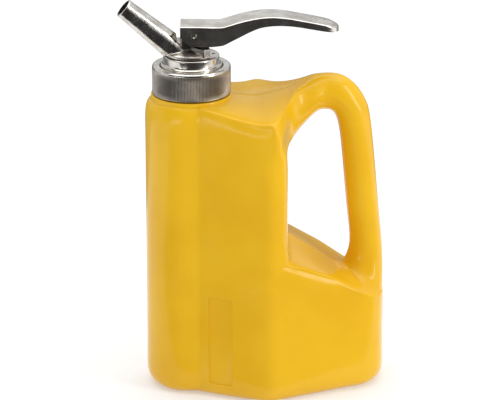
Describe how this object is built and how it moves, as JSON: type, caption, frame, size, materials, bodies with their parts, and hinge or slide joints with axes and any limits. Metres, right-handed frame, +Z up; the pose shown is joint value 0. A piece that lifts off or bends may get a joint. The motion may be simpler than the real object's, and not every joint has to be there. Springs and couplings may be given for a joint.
{
  "type": "plastic can with tap",
  "caption": "Square-shouldered plastic safety can with a moulded grip and a plated metal tap: a slanted spout and a sprung valve opened by a long thumb lever.",
  "frame": {"origin": "Centre of the bounding box in plan, on the table plane under the can.", "axes": "+Z up. -X the way the spout points, +X the grip. The flank with the bare panel faces -Y."},
  "size_m": [0.16, 0.0956, 0.242],
  "materials": {
    "can_yellow": "smooth blow-moulded polyethylene, satin to gloss",
    "gasket_black": "matt moulded rubber",
    "ring_nickel": "nickel plate, polished shoulder and fine straight knurl",
    "flange_nickel": "polished nickel plate",
    "flange_seal_black": "matt moulded rubber",
    "lock_nut_brass": "turned brass",
    "cast_nickel": "nickel plate over a rough casting",
    "seat_brass": "turned brass",
    "stem_steel": "ground steel",
    "plug_brass": "turned brass",
    "plug_seal_black": "matt moulded rubber",
    "plug_nut_steel": "plain steel",
    "gland_brass": "turned brass",
    "o_ring_black": "matt moulded rubber",
    "washer_steel": "plain steel",
    "spring_steel": "drawn spring wire",
    "arrester_steel": "perforated stainless sheet",
    "arrester_cap_brass": "turned brass",
    "vent_tube_brass": "drawn brass tube",
    "lever_steel": "pressed sheet, bright nickel plate",
    "pin_steel": "rolled steel pin"
  },
  "bodies": {
    "can": {"can_body": "can_yellow"},
    "tap": {"neck_gasket": "gasket_black", "flange_disc": "flange_nickel", "flange_seal": "flange_seal_black", "lock_nut": "lock_nut_brass", "tap_casting": "cast_nickel", "valve_seat": "seat_brass", "gland_nut": "gland_brass", "stem_o_ring": "o_ring_black", "spring_washer": "washer_steel", "return_spring": "spring_steel", "flame_arrester": "arrester_steel", "arrester_cap": "arrester_cap_brass", "vent_tube": "vent_tube_brass"},
    "ring": {"cap_ring": "ring_nickel"},
    "lever": {"lever": "lever_steel", "lever_pin": "pin_steel"},
    "stem": {"valve_stem": "stem_steel", "valve_plug": "plug_brass", "plug_seal": "plug_seal_black", "plug_nut": "plug_nut_steel"}
  },
  "joints": [
    {"name": "tap_lift", "type": "slide", "parent": "can", "child": "tap", "axis": [0, 0, 1], "range_m": [0, 0.0101]},
    {"name": "ring_turn", "type": "hinge", "parent": "tap", "child": "ring", "pos_m": [-0.03621, 0, 0.193], "axis": [0, 0, 1], "range_deg": [0, 900]},
    {"name": "lever_press", "type": "hinge", "parent": "tap", "child": "lever", "pos_m": [-0.02621, 0, 0.2249], "axis": [0, 1, 0], "range_deg": [0, 12], "stiffness_Nm_per_rad": 1.5, "springref_deg": -20.05},
    {"name": "stem_lift", "type": "slide", "parent": "tap", "child": "stem", "axis": [0, 0, 1], "range_m": [0, 0.002], "deforming": ["return_spring"]}
  ],
  "couplings": [
    {"joint": "tap_lift", "follows": "ring_turn", "m_per_rad": 0.00063662},
    {"joint": "stem_lift", "follows": "lever_press", "m_per_rad": 0.0094}
  ]
}
